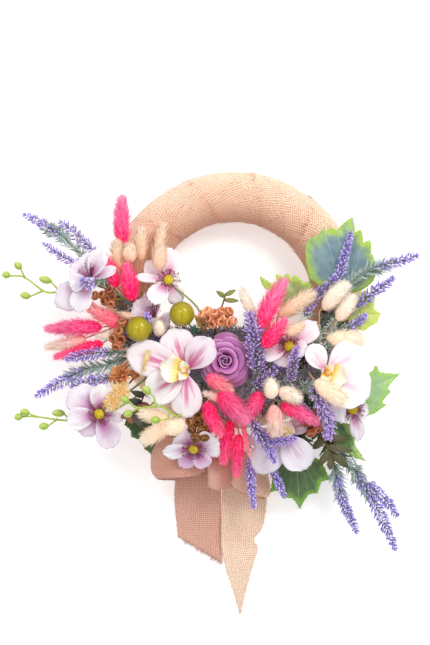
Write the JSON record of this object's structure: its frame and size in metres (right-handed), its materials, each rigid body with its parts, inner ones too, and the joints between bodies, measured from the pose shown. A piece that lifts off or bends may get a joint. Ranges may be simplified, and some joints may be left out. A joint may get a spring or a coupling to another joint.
{
  "type": "dried flower wreath",
  "caption": "Ring wound with burlap ribbon, its lower front covered by a crescent of dried blooms, leaves, lavender and bunny tails in floral foam, with a burlap bow below it.",
  "frame": {"origin": "bottom centre of the whole wreath's box, on the plane that the ring's flat back rests on", "axes": "the wreath lies on its back: +Z points out of its front, +Y towards its top as it hangs, +X to its right as seen from the front"},
  "size_m": [0.4028, 0.4278, 0.1046],
  "materials": {
    "burlap": "coarse woven jute",
    "straw": "matt, bundled straw",
    "foam": "matt floral foam",
    "white_petal": "satin, papery",
    "yellow_heart": "matt, granular",
    "rose": "satin, papery",
    "berry": "glossy skin",
    "pod": "matt, dry",
    "bud_green": "satin",
    "leaf": "satin, dry",
    "dark_leaf": "matt, dry",
    "lavender": "matt, fine",
    "pink": "soft, hairy",
    "cream": "soft, hairy",
    "golden": "matt, papery"
  },
  "bodies": {
    "root": {"anemone_behind": "white_petal", "anemone_bottom": "white_petal", "anemone_lower_left_heart": "yellow_heart", "anemone_lower_left_petals": "white_petal", "anemone_lower_right": "white_petal", "anemone_right_heart": "yellow_heart", "anemone_right_petals": "white_petal", "anemone_ring_heart": "yellow_heart", "anemone_ring_petals": "white_petal", "anemone_upper_left": "white_petal", "berry_left": "berry", "berry_right": "berry", "bow_loops": "burlap", "bow_tail_left": "burlap", "bow_tail_right": "burlap", "bud_sprig_lower_left": "bud_green", "bud_sprig_middle": "bud_green", "bud_sprig_upper_left": "bud_green", "bunny_tails_cream_centre": "cream", "bunny_tails_cream_left": "cream", "bunny_tails_cream_lower_left": "cream", "bunny_tails_cream_middle": "cream", "bunny_tails_cream_orchid": "cream", "bunny_tails_cream_right": "cream", "bunny_tails_cream_upper_left": "cream", "bunny_tails_pink_bottom": "pink", "bunny_tails_pink_left": "pink", "bunny_tails_pink_lower_right": "pink", "bunny_tails_pink_middle": "pink", "bunny_tails_pink_right": "pink", "bunny_tails_pink_upper_left": "pink", "dark_leaf_spray": "dark_leaf", "foam_pad": "foam", "lavender_left": "lavender", "lavender_lower": "lavender", "lavender_lower_far_right": "lavender", "lavender_lower_right": "lavender", "lavender_middle": "lavender", "lavender_right": "lavender", "lavender_upper_left": "lavender", "leaf_blue_green": "leaf", "leaf_bottom": "leaf", "leaf_ivy": "leaf", "leaf_lime_top": "leaf", "leaf_lower_left": "leaf", "leaf_lower_right": "leaf", "leaf_yellow_right": "leaf", "orchid_bottom": "white_petal", "orchid_left_lip": "yellow_heart", "orchid_left_petals": "white_petal", "orchid_right_lip": "yellow_heart", "orchid_right_petals": "white_petal", "pods_bottom": "pod", "pods_left": "pod", "pods_middle": "pod", "pods_upper_left": "pod", "ring_core": "straw", "ring_wrap": "burlap", "rose": "rose", "straw_flowers": "golden"}
  },
  "joints": []
}
